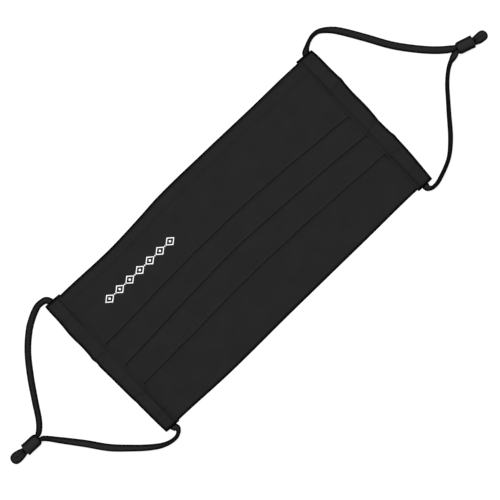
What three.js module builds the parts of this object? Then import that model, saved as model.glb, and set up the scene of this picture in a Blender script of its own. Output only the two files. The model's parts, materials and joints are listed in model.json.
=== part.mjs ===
// A cloth face mask, folded flat and lying with its front up, with adjustable elastic ear loops.
// Millimetres. +X runs along the mask to its right end, +Y to its upper edge and +Z out of its front.
// The origin is the middle of the cloth's outline, on the surface that the mask lies on.
import * as THREE from "three";

// Driving sizes of the cloth
const maskLength = 192.4; // over both side casings
const maskHeight = 92.6; // upper edge to lower edge, with the pleats closed
const clothThickness = 1;
const pieceGap = 0.3; // between pieces, and between the folded layers of one piece
const pleatDepth = 9.5; // from a pleat's front fold to its back fold
const firstRise = 10; // length over which the upper strip climbs onto the first pleat
const casingWidth = 10.6;
const sewnOverlap = 1.2; // how far the panel's end reaches into the casing
const endRise = 12; // length over which the panel climbs onto the casing's lower wall
const casingDrop = 5; // length over which the casing falls from the last pleat to the single cloth
const casingDip = 0.6; // how far the casing sinks between two pleats
const bendDepth = 1.2; // of the casing's outer bend

// Driving sizes of the elastic and its toggles
const elasticWidth = 4;
const elasticThickness = 1.9;
const gripSqueeze = 0.69; // share of its section that the elastic keeps inside the toggle
const mouthSqueeze = 0.92; // the same, inside the casing
const strandSpacing = 1.6; // centre to centre of the two strands in the toggle
const toggleLength = 9;
const toggleMouthDiameter = 5.6; // at the end that faces the mask
const toggleTailDiameter = 6.5;
const toggleRounding = 0.6; // of both rims
const toggleLift = 0.05; // keeps its sloping side off the surface

// Detail of the meshes
const foldSteps = 4; // facets round a fold
const riseSteps = 4; // facets over a rise
const middleStations = 18; // sections along the flat middle of the panel
const plainSteps = 3; // sections of a casing between its end and the nearest pleat
const cordSides = 8;
const cordStepsPerSpan = 2;
const toggleSides = 20;

const halfLength = maskLength / 2;
const halfHeight = maskHeight / 2;
const layerStep = clothThickness + pieceGap;
const casingInner = halfLength - casingWidth;
const panelEnd = casingInner + sewnOverlap;
const layersInPleat = 3;

// A table with named columns, as a function that reads every column at a value of the first one.
function smoothTable(columns, rows) {
  const places = new Float32Array(rows.map((row) => row[0]));
  const values = new Float32Array(rows.flatMap((row) => row.slice(1)));
  const curve = new THREE.CubicInterpolant(places, values, columns.length - 1);
  return (at) => {
    const found = curve.evaluate(at);
    return Object.fromEntries(columns.slice(1).map((name, i) => [name, found[i]]));
  };
}

// The panel's edges and front folds along the mask: along is a share of the half length,
// and the other columns are heights as shares of the half height.
const lengthwise = smoothTable(
  ["along", "upper", "fold1", "fold2", "fold3", "lower"],
  [
    [-0.92, 0.93, 0.177, -0.135, -0.43, -0.983],
    [-0.83, 0.932, 0.187, -0.124, -0.423, -0.985],
    [-0.53, 0.923, 0.219, -0.084, -0.399, -1],
    [-0.31, 0.949, 0.237, -0.06, -0.383, -0.995],
    [-0.15, 0.976, 0.244, -0.048, -0.374, -0.987],
    [0.2, 0.982, 0.242, -0.047, -0.373, -0.978],
    [0.55, 0.978, 0.207, -0.084, -0.396, -0.971],
    [0.8, 0.981, 0.169, -0.118, -0.416, -0.962],
    [0.92, 0.975, 0.149, -0.135, -0.425, -0.964],
  ],
);

// The casings' outer edges up the mask: up is a share of the half height,
// and the other columns are distances from the middle as shares of the half length.
const sideways = smoothTable(
  ["up", "left", "right"],
  [
    [-1, 0.98, 0.984],
    [-0.86, 0.984, 0.989],
    [-0.64, 0.987, 0.996],
    [-0.43, 0.991, 0.999],
    [-0.15, 0.995, 0.994],
    [0.11, 0.999, 0.999],
    [0.33, 0.995, 0.997],
    [0.52, 0.998, 1],
    [0.7, 0.992, 0.998],
    [0.91, 0.99, 0.996],
    [1, 0.986, 0.992],
  ],
);

// The casings' ends: heights of the inner and the outer corner as shares of the half height.
const casingEnds = {
  left: { upper: { inner: 0.95, outer: 0.952 }, lower: { inner: -0.995, outer: -0.985 } },
  right: { upper: { inner: 1, outer: 0.975 }, lower: { inner: -0.985, outer: -1 } },
};

// Half the height that the elastic takes up when its wide side is turned by twist from lying flat.
function standingHalf(twist, squeeze) {
  const angle = THREE.MathUtils.degToRad(twist);
  return (squeeze * Math.hypot(elasticWidth * Math.sin(angle), elasticThickness * Math.cos(angle))) / 2;
}

// Heights of the elastic's underside above the surface
const inCasing = clothThickness + pieceGap;
const gripHalf = standingHalf(90, gripSqueeze);
const atToggleMouth = toggleMouthDiameter / 2 + toggleLift - gripHalf;
const atToggleTail = toggleTailDiameter / 2 + toggleLift - gripHalf;

// Routes of the free elastic, from the upper casing mouth through the toggle and back to the lower mouth.
// Columns: x out from the mask's side edge, y, underside, twist in degrees from flat, squeeze.
const rightRoute = [
  [-4.8, 41.0, inCasing, 0, mouthSqueeze],
  [-4.8, 43.5, inCasing, 0, mouthSqueeze],
  [-4.4, 45.7, inCasing, 8, mouthSqueeze],
  [-3.3, 47.1, 1.0, 40, 1],
  [-1.2, 48.3, 0.4, 66, 1],
  [1.7, 49.5, 0.1, 80, 1],
  [4.6, 50.3, 0, 78, 1],
  [7.9, 50.1, 0, 68, 1],
  [11.0, 48.5, 0, 56, 1],
  [14.2, 45.5, 0, 34, 1],
  [17.1, 41.8, 0, 18, 1],
  [23.5, 31.3, 0, 12, 1],
  [31.3, 18.3, 0, 12, 1],
  [40.0, 6.9, 0, 14, 1],
  [45.9, 0.9, 0, 18, 1],
  [50.2, -2.7, 0.9, 44, 0.92],
  [53.5, -5.2, atToggleMouth, 90, gripSqueeze],
  [63.1, -8.3, atToggleTail, 90, gripSqueeze],
  [64.8, -8.3, 0.9, 84, 0.95],
  [67.4, -8.2, 0.3, 72, 1],
  [68.5, -8.8, 0.2, 70, 1],
  [68.8, -9.9, 0.2, 70, 1],
  [68.2, -10.9, 0.2, 70, 1],
  [67.0, -11.2, 0.3, 72, 1],
  [64.4, -10.5, 0.9, 84, 0.95],
  [62.6, -9.8, atToggleTail, 90, gripSqueeze],
  [53.0, -6.7, atToggleMouth, 90, gripSqueeze],
  [50.1, -7.3, 0.9, 52, 0.92],
  [46.9, -8.8, 0, 72, 1],
  [42.9, -11.2, 0, 86, 1],
  [37.6, -15.9, 0, 90, 1],
  [32.9, -21.2, 0, 90, 1],
  [28.3, -26.9, 0, 90, 1],
  [19.7, -37.6, 0, 90, 1],
  [12.0, -44.0, 0, 90, 1],
  [2.6, -47.9, 0, 88, 1],
  [-2.0, -49.0, 0.2, 76, 1],
  [-5.3, -48.7, 0.7, 46, 1],
  [-6.4, -46.9, inCasing, 10, mouthSqueeze],
  [-6.2, -40.4, inCasing, 0, mouthSqueeze],
];
const leftRoute = [
  [-5.0, 39.9, inCasing, 0, mouthSqueeze],
  [-5.0, 42.5, inCasing, 0, mouthSqueeze],
  [-4.9, 44.5, inCasing, 10, mouthSqueeze],
  [-3.8, 46.2, 1.1, 44, 1],
  [-1.5, 47.1, 0.5, 58, 1],
  [1.2, 46.8, 0.1, 60, 1],
  [3.7, 46.1, 0, 52, 1],
  [7.7, 44.4, 0, 48, 1],
  [12.5, 41.6, 0, 46, 1],
  [20.7, 34.2, 0, 46, 1],
  [28.9, 23.8, 0, 47, 1],
  [36.0, 12.7, 0, 48, 1],
  [41.9, 3.9, 0, 54, 1],
  [44.9, 0.3, 0.5, 70, 0.9],
  [47.5, -1.7, atToggleMouth, 90, gripSqueeze],
  [57.8, -1.6, atToggleTail, 90, gripSqueeze],
  [59.9, -1.2, 0.9, 84, 0.95],
  [63.8, -0.8, 0.3, 72, 1],
  [65.1, -1.3, 0.2, 70, 1],
  [65.6, -2.3, 0.2, 70, 1],
  [65.1, -3.4, 0.2, 70, 1],
  [63.8, -3.9, 0.3, 72, 1],
  [59.9, -3.6, 0.9, 84, 0.95],
  [57.8, -3.2, atToggleTail, 90, gripSqueeze],
  [47.5, -3.3, atToggleMouth, 90, gripSqueeze],
  [44.9, -5.3, 0.5, 76, 0.9],
  [40.6, -10.9, 0, 70, 1],
  [32.6, -21.5, 0, 48, 1],
  [25.1, -31.8, 0, 37, 1],
  [16.9, -39.8, 0, 44, 1],
  [12.5, -43.7, 0, 48, 1],
  [8.4, -46.9, 0, 52, 1],
  [4.2, -49.3, 0, 57, 1],
  [-0.2, -50.7, 0.1, 68, 1],
  [-3.9, -50.8, 0.5, 80, 1],
  [-6.3, -49.5, 0.9, 62, 1],
  [-7.0, -47.8, inCasing, 26, 1],
  [-7.0, -45.5, inCasing, 6, mouthSqueeze],
  [-6.8, -40.4, inCasing, 0, mouthSqueeze],
];

// Where each toggle sits: its mouth and its tail end, in the routes' columns x and y.
const rightToggle = { mouth: [54.0, -6.2], tail: [62.4, -8.9] };
const leftToggle = { mouth: [48.1, -2.5], tail: [57.1, -2.4] };

// Outline of a wall of the given thickness along a centre line, turning counter-clockwise.
function wallOutline(line, thickness) {
  const directions = line.slice(1).map((point, i) => point.clone().sub(line[i]).normalize());
  const sides = [1, -1].map((side) =>
    line.map((point, i) => {
      const arriving = directions[Math.max(i - 1, 0)];
      const leaving = directions[Math.min(i, directions.length - 1)];
      const along = arriving.clone().add(leaving).normalize();
      const reach = (side * thickness) / 2 / along.dot(arriving);
      return new THREE.Vector2(point.x + along.y * reach, point.y - along.x * reach);
    }),
  );
  return [...sides[0], ...sides[1].reverse()];
}

// A closed body through outlines of equal length, each placed in space by place(point, number of the outline).
function loft(outlines, place) {
  const count = outlines[0].length;
  const vertices = outlines.flatMap((outline, i) => outline.flatMap((point) => place(point, i).toArray()));
  const faces = [];
  for (let i = 0; i + 1 < outlines.length; i++) {
    for (let j = 0; j < count; j++) {
      const here = i * count + j;
      const next = i * count + ((j + 1) % count);
      faces.push(here, next, here + count, next, next + count, here + count);
    }
  }
  const last = outlines.length - 1;
  for (const [a, b, c] of THREE.ShapeUtils.triangulateShape(outlines[0], [])) faces.push(a, c, b);
  for (const [a, b, c] of THREE.ShapeUtils.triangulateShape(outlines[last], [])) {
    faces.push(last * count + a, last * count + b, last * count + c);
  }
  const geometry = new THREE.BufferGeometry();
  geometry.setAttribute("position", new THREE.Float32BufferAttribute(vertices, 3));
  geometry.setIndex(faces);
  geometry.computeVertexNormals();
  return geometry;
}

const smoothShare = (share) => share * share * (3 - 2 * share);
const shares = (steps) => Array.from({ length: steps + 1 }, (_, i) => i / steps);

// Heights of the edges and folds at a share of the half length, in millimetres, from the top down.
function pleatsAt(along) {
  const row = lengthwise(along);
  const fronts = [row.fold1, row.fold2, row.fold3].map((share) => share * halfHeight);
  const strips = fronts.map((front, i) => {
    const top = front + pleatDepth + pieceGap;
    return { front, back: front + pleatDepth, riseFrom: i ? fronts[i - 1] : top + firstRise, riseTo: top };
  });
  return { upper: row.upper * halfHeight, lower: row.lower * halfHeight, strips };
}

// Centre line of the folded cloth across the mask, as y and z, with its lowest face at base.
function foldedLine(along, base) {
  const { upper, lower, strips } = pleatsAt(along);
  const level = (number) => base + clothThickness / 2 + number * layerStep;
  const highest = layersInPleat - 1;
  const bend = layerStep / 2;
  const reach = bend + clothThickness / 2;
  const line = [new THREE.Vector2(upper, level(0))];
  const turn = (y, fromLevel, side) => {
    for (const share of shares(foldSteps)) {
      const angle = Math.PI * share;
      line.push(
        new THREE.Vector2(y + side * bend * Math.sin(angle), level(fromLevel) - bend + bend * Math.cos(angle)),
      );
    }
  };
  for (const { front, back, riseFrom, riseTo } of strips) {
    for (const share of shares(riseSteps)) {
      const y = THREE.MathUtils.lerp(riseFrom, riseTo, share);
      line.push(new THREE.Vector2(y, THREE.MathUtils.lerp(level(0), level(highest), smoothShare(share))));
    }
    turn(front + reach, highest, -1);
    turn(back - reach, highest - 1, 1);
  }
  line.push(new THREE.Vector2(lower, level(0)));
  return line;
}

// The pleated front, flat on the surface in the middle and raised onto the casings' lower walls at its ends.
function pleatedPanel() {
  const raisedFrom = casingInner - pieceGap;
  const flatTo = raisedFrom - endRise;
  const rise = shares(riseSteps).map((share) => ({
    x: THREE.MathUtils.lerp(raisedFrom, flatTo, share),
    base: layerStep * (1 - smoothShare(share)),
  }));
  const end = [{ x: panelEnd, base: layerStep }, ...rise];
  const middle = shares(middleStations)
    .slice(1, -1)
    .map((share) => ({ x: THREE.MathUtils.lerp(-flatTo, flatTo, share), base: 0 }));
  const stations = [...end.map(({ x, base }) => ({ x: -x, base })), ...middle, ...[...end].reverse()];
  const outlines = stations.map(({ x, base }) => wallOutline(foldedLine(x / halfLength, base), clothThickness));
  return loft(outlines, (point, i) => new THREE.Vector3(stations[i].x, point.x, point.y));
}

// Heights up one casing where its shape changes, with how far the cloth under its upper wall is stacked up.
function casingStations(side, ends) {
  const { strips } = pleatsAt((side * panelEnd) / halfLength);
  const stacked = (layersInPleat - 1) * layerStep;
  const stations = [];
  const [first, ...others] = strips;
  const lastFront = strips[strips.length - 1].front;
  for (const share of shares(plainSteps).slice(0, -1)) {
    stations.push({ y: THREE.MathUtils.lerp(ends.upper.inner * halfHeight, first.riseFrom, share), rise: 0 });
  }
  for (const share of shares(riseSteps)) {
    stations.push({
      y: THREE.MathUtils.lerp(first.riseFrom, first.riseTo, share),
      rise: stacked * smoothShare(share),
    });
  }
  stations.push({ y: first.front, rise: stacked });
  for (const { riseFrom, riseTo, front } of others) {
    stations.push({ y: (riseFrom + riseTo) / 2, rise: stacked - casingDip });
    stations.push({ y: riseTo, rise: stacked });
    stations.push({ y: front, rise: stacked });
  }
  const fallen = lastFront - casingDrop;
  for (const share of shares(plainSteps)) {
    stations.push({ y: THREE.MathUtils.lerp(fallen, ends.lower.inner * halfHeight, share), rise: 0 });
  }
  return stations;
}

// Centre line of the casing's wall, out from the inner edge along the surface and back over the panel's end.
function casingLine(outerEdge, rise) {
  const half = clothThickness / 2;
  const roof = inCasing + elasticThickness + pieceGap + half;
  const overPanel = inCasing + layerStep + half + rise;
  const shoulder = Math.max(roof, overPanel - pieceGap);
  const middle = (half + roof) / 2;
  const bendFrom = outerEdge - half - bendDepth;
  const line = [new THREE.Vector2(casingInner, half)];
  for (const share of shares(foldSteps)) {
    const angle = Math.PI * (share - 0.5);
    line.push(
      new THREE.Vector2(bendFrom + bendDepth * Math.cos(angle), middle + (middle - half) * Math.sin(angle)),
    );
  }
  line.push(new THREE.Vector2(panelEnd + clothThickness + pieceGap, shoulder));
  line.push(new THREE.Vector2(panelEnd, overPanel));
  line.push(new THREE.Vector2(casingInner, overPanel));
  return line;
}

// The folded strip over one end of the panel, open at both ends of its tunnel.
function sideCasing(side, name) {
  const ends = casingEnds[name];
  const stations = casingStations(side, ends);
  if (side < 0) stations.reverse();
  const outlines = stations.map(({ y, rise }) => {
    const outer = sideways(y / halfHeight)[name] * halfLength;
    return wallOutline(casingLine(outer, rise), clothThickness);
  });
  return loft(outlines, (point, i) => {
    const { y } = stations[i];
    const end = y > 0 ? ends.upper : ends.lower;
    const nearEnd = smoothShare(THREE.MathUtils.clamp((2 * y) / (end.inner * halfHeight) - 1, 0, 1));
    const outward = (point.x - casingInner) / casingWidth;
    const slant = (end.outer - end.inner) * halfHeight * outward * nearEnd;
    return new THREE.Vector3(side * point.x, y + slant, point.y);
  });
}

// The flat elastic along a route: an extruded oval, bent along the route, twisted and squeezed.
function elasticAlong(route, side) {
  const line = new THREE.CatmullRomCurve3(
    route.map(([x, y]) => new THREE.Vector3(side * (halfLength + x), y, 0)),
  );
  const spans = route.length - 1;
  const steps = spans * cordStepsPerSpan;
  const corners = shares(cordSides).slice(0, -1);
  const section = new THREE.Shape(
    corners.map((share) => {
      const angle = 2 * Math.PI * share;
      return new THREE.Vector2((elasticWidth / 2) * Math.cos(angle), (elasticThickness / 2) * Math.sin(angle));
    }),
  );
  const geometry = new THREE.ExtrudeGeometry(section, { depth: 1, steps, bevelEnabled: false });
  const vertices = geometry.getAttribute("position");
  for (let i = 0; i < vertices.count; i++) {
    const step = Math.round(vertices.getZ(i) * steps);
    const along = step / steps;
    const span = Math.min(Math.floor(step / cordStepsPerSpan), spans - 1);
    const blend = smoothShare(step / cordStepsPerSpan - span);
    const [underside, twist, squeeze] = [2, 3, 4].map((column) =>
      THREE.MathUtils.lerp(route[span][column], route[span + 1][column], blend),
    );
    const forward = line.getTangent(along);
    const across = new THREE.Vector3(-forward.y, forward.x, 0);
    const angle = side * THREE.MathUtils.degToRad(twist);
    const wide = squeeze * vertices.getX(i);
    const thin = squeeze * vertices.getY(i);
    const point = line.getPoint(along);
    point.addScaledVector(across, wide * Math.cos(angle) - thin * Math.sin(angle));
    point.z = underside + standingHalf(twist, squeeze) + wide * Math.sin(angle) + thin * Math.cos(angle);
    vertices.setXYZ(i, point.x, point.y, point.z);
  }
  geometry.computeVertexNormals();
  return geometry;
}

// The straight stretch of elastic inside a casing, between the two ends of the free one.
function tunnelRoute(route) {
  const [upperX, upperY] = route[0];
  const [lowerX, lowerY] = route[route.length - 1];
  return [
    [upperX, upperY - pieceGap, inCasing, 0, mouthSqueeze],
    [(upperX + lowerX) / 2, (upperY + lowerY) / 2, inCasing, 0, mouthSqueeze],
    [lowerX, lowerY + pieceGap, inCasing, 0, mouthSqueeze],
  ];
}

// The soft adjuster: a slightly conical tube with rounded rims, bored for both strands.
function toggleBody() {
  const bore = Math.hypot(strandSpacing / 2, (elasticWidth * gripSqueeze) / 2) + pieceGap;
  const mouth = toggleMouthDiameter / 2;
  const tail = toggleTailDiameter / 2;
  const corner = toggleRounding * (1 - Math.SQRT1_2);
  const profile = [
    [bore, 0],
    [mouth - toggleRounding, 0],
    [mouth - corner, corner],
    [mouth, toggleRounding],
    [tail, toggleLength - toggleRounding],
    [tail - corner, toggleLength - corner],
    [tail - toggleRounding, toggleLength],
    [bore, toggleLength],
    [bore, 0],
  ].map(([radius, height]) => new THREE.Vector2(radius, height));
  return new THREE.LatheGeometry(profile, toggleSides);
}

// A toggle lying on the surface on its conical side, from its mouth towards its tail end.
function placeToggle(mesh, { mouth, tail }, side) {
  const [from, to] = [
    [mouth, toggleMouthDiameter],
    [tail, toggleTailDiameter],
  ].map(([[x, y], diameter]) => new THREE.Vector3(side * (halfLength + x), y, diameter / 2 + toggleLift));
  mesh.position.copy(from);
  mesh.quaternion.setFromUnitVectors(new THREE.Vector3(0, 1, 0), to.sub(from).normalize());
}

const cotton = new THREE.MeshStandardMaterial({ color: 0x262628, roughness: 0.92, metalness: 0 });
const casingCotton = new THREE.MeshStandardMaterial({ color: 0x29292b, roughness: 0.92, metalness: 0 });
const elastic = new THREE.MeshStandardMaterial({ color: 0x2b2b2d, roughness: 0.85, metalness: 0 });
const silicone = new THREE.MeshStandardMaterial({ color: 0x2e2e30, roughness: 0.6, metalness: 0 });

const mask = new THREE.Group();

function addPiece(name, geometry, material) {
  const mesh = new THREE.Mesh(geometry, material);
  mesh.name = name;
  mask.add(mesh);
  return mesh;
}

addPiece("pleated_panel", pleatedPanel(), cotton);
for (const [name, side, route, toggle] of [
  ["left", -1, leftRoute, leftToggle],
  ["right", 1, rightRoute, rightToggle],
]) {
  addPiece("side_casing_" + name, sideCasing(side, name), casingCotton);
  addPiece("tunnel_elastic_" + name, elasticAlong(tunnelRoute(route), side), elastic);
  addPiece("ear_loop_" + name, elasticAlong(route, side), elastic);
  placeToggle(addPiece("toggle_" + name, toggleBody(), silicone), toggle, side);
}

export default mask;
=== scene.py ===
"""A cloth face mask, folded flat, with adjustable ear loops: cloth, seams, elastic, toggles and stage."""

import json
import math

import bpy
import numpy as np
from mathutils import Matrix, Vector
from mathutils.bvhtree import BVHTree

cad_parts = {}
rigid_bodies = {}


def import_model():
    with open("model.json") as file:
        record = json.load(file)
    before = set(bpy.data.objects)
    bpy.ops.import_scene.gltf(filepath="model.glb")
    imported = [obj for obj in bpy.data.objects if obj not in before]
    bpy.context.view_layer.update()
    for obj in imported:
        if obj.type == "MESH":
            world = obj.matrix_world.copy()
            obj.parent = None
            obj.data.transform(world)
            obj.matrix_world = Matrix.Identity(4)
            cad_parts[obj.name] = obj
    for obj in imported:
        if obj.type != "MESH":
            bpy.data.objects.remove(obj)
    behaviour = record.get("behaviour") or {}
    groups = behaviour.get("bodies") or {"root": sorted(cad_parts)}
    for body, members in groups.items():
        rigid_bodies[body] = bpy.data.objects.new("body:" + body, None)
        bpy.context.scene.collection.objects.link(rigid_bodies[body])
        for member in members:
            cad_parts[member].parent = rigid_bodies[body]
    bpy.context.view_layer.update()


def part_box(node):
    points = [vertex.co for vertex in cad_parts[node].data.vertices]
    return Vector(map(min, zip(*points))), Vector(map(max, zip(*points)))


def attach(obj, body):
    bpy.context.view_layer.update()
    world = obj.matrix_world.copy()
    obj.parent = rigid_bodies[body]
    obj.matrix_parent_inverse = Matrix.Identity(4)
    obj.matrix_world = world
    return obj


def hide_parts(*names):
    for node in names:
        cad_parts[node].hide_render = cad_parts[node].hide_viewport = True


bl_info = {
    "name": "Pleated cloth mask",
    "version": (1, 0, 0),
    "blender": (4, 5, 0),
    "location": "3D View > Sidebar > Cloth mask",
    "description": "Builds the cloth, seams, elastic and toggles of a flat-folded face mask",
    "category": "Add Mesh",
}

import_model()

MM = 0.001
SIDES = {"left": -1, "right": 1}

# Height from which rays look down at a piece, in metres
RAY_START = 0.05

# The cloth's size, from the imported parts
HALF_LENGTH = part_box("side_casing_right")[1].x
HALF_HEIGHT = -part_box("pleated_panel")[0].y
CASING_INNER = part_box("side_casing_right")[0].x
PANEL_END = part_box("pleated_panel")[1].x

# Edges and front folds along the mask: a share of the half length,
# then the heights of the upper edge, three folds and lower edge as shares of the half height.
LENGTHWISE = [
    [-0.92, 0.93, 0.177, -0.135, -0.43, -0.983],
    [-0.83, 0.932, 0.187, -0.124, -0.423, -0.985],
    [-0.53, 0.923, 0.219, -0.084, -0.399, -1],
    [-0.31, 0.949, 0.237, -0.06, -0.383, -0.995],
    [-0.15, 0.976, 0.244, -0.048, -0.374, -0.987],
    [0.2, 0.982, 0.242, -0.047, -0.373, -0.978],
    [0.55, 0.978, 0.207, -0.084, -0.396, -0.971],
    [0.8, 0.981, 0.169, -0.118, -0.416, -0.962],
    [0.92, 0.975, 0.149, -0.135, -0.425, -0.964],
]

# The casings' outer edges up the mask: a share of the half height,
# then the distances from the middle on the left and the right as shares of the half length.
SIDEWAYS = [
    [-1, 0.98, 0.984],
    [-0.86, 0.984, 0.989],
    [-0.64, 0.987, 0.996],
    [-0.43, 0.991, 0.999],
    [-0.15, 0.995, 0.994],
    [0.11, 0.999, 0.999],
    [0.33, 0.995, 0.997],
    [0.52, 0.998, 1],
    [0.7, 0.992, 0.998],
    [0.91, 0.99, 0.996],
    [1, 0.986, 0.992],
]

# Heights of each casing's inner and outer corners as shares of the half height, at its upper and lower end.
CASING_ENDS = {
    "left": {"upper": (0.95, 0.952), "lower": (-0.995, -0.985)},
    "right": {"upper": (1, 0.975), "lower": (-0.985, -0.985)},
}

# Creases across each casing, in millimetres:
# the height of the inner end, how much higher the outer end is, and the depth.
# A crease's depth also sets how much painted shade it gets.
CASING_CREASES = {
    "left": [(31, 1, 0.16), (5, 2, 0.32), (-10, -1.5, 0.15), (-24.6, 4.5, 0.34), (-36, -2, 0.28)],
    "right": [(33, -2, 0.18), (22, 1.5, 0.34), (9, 2, 0.14), (-6, 3, 0.3), (-21, -3, 0.3), (-36, 2, 0.3)],
}

# Heights up each casing, in millimetres, where its outer edge bulges or dips, and how far out.
CASING_BULGES = {
    "left": [(7.6, 0.25), (4.9, -0.3), (-24, -0.18)],
    "right": [(23.8, 0.3), (-15.8, 0.3), (-4.5, -0.15)],
}

# How far in from its outline the cloth is darkened with painted shade
RIM_SHADE_WIDTH = 1.3 * MM

# Heights of the elastic's underside in a casing and at a toggle's two ends, in millimetres,
# and the share of its section that it keeps in a toggle and in a casing.
IN_CASING = 1.3
AT_MOUTH = 2.05
AT_TAIL = 2.25
GRIP = 0.69
SNUG = 0.92

# Routes of the free elastic in millimetres, from the upper casing mouth by the toggle to the lower mouth:
# x out from the mask's side edge, y, height of its underside, twist in degrees from flat, squeeze.
RIGHT_ROUTE = [
    [-4.8, 41.0, IN_CASING, 0, SNUG],
    [-4.8, 43.5, IN_CASING, 0, SNUG],
    [-4.4, 45.7, IN_CASING, 8, SNUG],
    [-3.1, 46.9, 1.0, 50, 1],
    [-1.1, 48.2, 0.4, 74, 0.96],
    [1.7, 49.5, 0.1, 84, 0.92],
    [4.6, 50.2, 0, 82, 0.94],
    [7.8, 49.9, 0, 75, 0.97],
    [10.8, 48.2, 0, 64, 1],
    [14.0, 45.3, 0, 46, 1],
    [16.9, 41.6, 0, 24, 1],
    [23.4, 31.2, 0, 10, 1],
    [31.1, 18.2, 0, 14, 1],
    [40.0, 6.9, 0, 14, 1],
    [45.8, 0.8, 0, 20, 1],
    [50.1, -2.9, 0.7, 20, 1],
    [53.0, -4.9, 1.6, 42, 0.95],
    [55.4, -5.8, AT_MOUTH, 90, GRIP],
    [61.5, -7.8, AT_TAIL, 90, GRIP],
    [63.2, -8.2, 1.8, 98, 0.95],
    [65.2, -8.5, 0.9, 116, 1],
    [67.6, -8.7, 0.3, 122, 1],
    [68.8, -9.1, 0.2, 124, 1],
    [69.2, -10.1, 0.2, 124, 1],
    [68.7, -11.2, 0.2, 124, 1],
    [67.1, -11.3, 0.3, 122, 1],
    [64.6, -10.9, 0.9, 116, 1],
    [62.6, -10.3, 1.8, 98, 0.95],
    [61.0, -9.3, AT_TAIL, 90, GRIP],
    [54.2, -7.1, AT_MOUTH, 90, GRIP],
    [52.0, -7.0, 1.5, 42, 0.95],
    [50.0, -7.6, 0.7, 38, 1],
    [48.2, -8.2, 0.1, 64, 1],
    [46.3, -8.8, 0, 86, 1],
    [42.8, -11.0, 0, 90, 0.96],
    [37.5, -15.8, 0, 90, 1],
    [32.9, -21.2, 0, 90, 1],
    [28.2, -26.8, 0, 86, 1],
    [19.4, -37.3, 0, 74, 1],
    [11.9, -43.8, 0, 88, 0.93],
    [2.6, -47.9, 0, 88, 1],
    [-2.0, -49.1, 0.2, 86, 0.95],
    [-5.2, -48.7, 0.6, 84, 0.95],
    [-6.5, -47.2, 1.1, 32, 1],
    [-6.5, -45.6, IN_CASING, 0, 0.96],
    [-6.3, -43.5, IN_CASING, 0, SNUG],
    [-6.2, -40.4, IN_CASING, 0, SNUG],
]
LEFT_ROUTE = [
    [-5.0, 39.9, IN_CASING, 0, SNUG],
    [-5.0, 42.5, IN_CASING, 0, SNUG],
    [-4.9, 44.5, IN_CASING, 10, SNUG],
    [-3.8, 46.2, 1.1, 44, 1],
    [-1.5, 46.9, 0.5, 48, 1],
    [1.2, 47.0, 0.1, 52, 1],
    [3.8, 46.2, 0, 44, 1],
    [7.7, 44.4, 0, 42, 1],
    [12.4, 41.5, 0, 41, 1],
    [20.6, 34.1, 0, 53, 1],
    [28.7, 23.7, 0, 47, 1],
    [35.9, 12.7, 0, 55, 1],
    [41.6, 3.7, 0, 58, 1],
    [44.8, 0.2, 0.6, 60, 1],
    [46.8, -1.1, 1.4, 64, 0.96],
    [49.4, -1.7, AT_MOUTH, 90, GRIP],
    [56.0, -1.65, AT_TAIL, 90, GRIP],
    [57.9, -1.4, 1.8, 98, 0.95],
    [60.0, -1.0, 0.9, 116, 1],
    [62.9, -0.6, 0.3, 124, 1],
    [64.4, -1.0, 0.2, 126, 1],
    [64.8, -2.1, 0.2, 126, 1],
    [64.4, -3.2, 0.2, 126, 1],
    [63.0, -3.6, 0.3, 124, 1],
    [60.0, -3.6, 0.9, 116, 1],
    [57.9, -3.5, 1.8, 98, 0.95],
    [56.0, -3.25, AT_TAIL, 90, GRIP],
    [49.0, -3.3, AT_MOUTH, 90, GRIP],
    [46.6, -4.0, 1.3, 66, 1],
    [45.0, -5.4, 0.7, 73, 1],
    [40.6, -10.9, 0, 58, 1],
    [32.3, -21.3, 0, 34, 1],
    [24.7, -31.4, 0, 33, 1],
    [16.6, -39.4, 0, 50, 1],
    [12.2, -43.4, 0, 54, 1],
    [8.2, -46.6, 0, 60, 1],
    [4.2, -49.2, 0, 70, 1],
    [-0.2, -50.8, 0.1, 82, 0.96],
    [-4.0, -51.0, 0.4, 86, 0.93],
    [-6.6, -49.8, 0.7, 82, 0.96],
    [-7.5, -48.1, 1.0, 44, 1],
    [-6.9, -46.7, 1.2, 8, 1],
    [-6.3, -45.1, IN_CASING, 0, 0.94],
    [-6.3, -42.8, IN_CASING, 0, SNUG],
    [-6.3, -40.4, IN_CASING, 0, SNUG],
]
ROUTES = {"right": RIGHT_ROUTE, "left": LEFT_ROUTE}

# Where each toggle sits: its mouth and its tail end, in the routes' x and y.
TOGGLE_PLACES = {
    "right": {"mouth": (53.6, -6.1), "tail": (62.2, -8.8)},
    "left": {"mouth": (47.8, -2.5), "tail": (56.8, -2.4)},
}


def size_property(name, description, millimetres):
    """A length that the user can change, given in millimetres."""
    return bpy.props.FloatProperty(
        name=name, description=description, default=millimetres * MM, unit="LENGTH", precision=5
    )


def number_property(name, description, default, subtype="NONE"):
    """A plain number or an angle that the user can change."""
    return bpy.props.FloatProperty(name=name, description=description, default=default, subtype=subtype)


def place_property(name, description, x, y):
    """A place on the surface that the user can change, given in millimetres."""
    return bpy.props.FloatVectorProperty(
        name=name, description=description, default=(x * MM, y * MM), size=2, unit="LENGTH"
    )


def colour_property(name, description, *colour):
    """A colour that the user can change."""
    return bpy.props.FloatVectorProperty(
        name=name, description=description, default=colour, subtype="COLOR", size=3
    )


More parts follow.
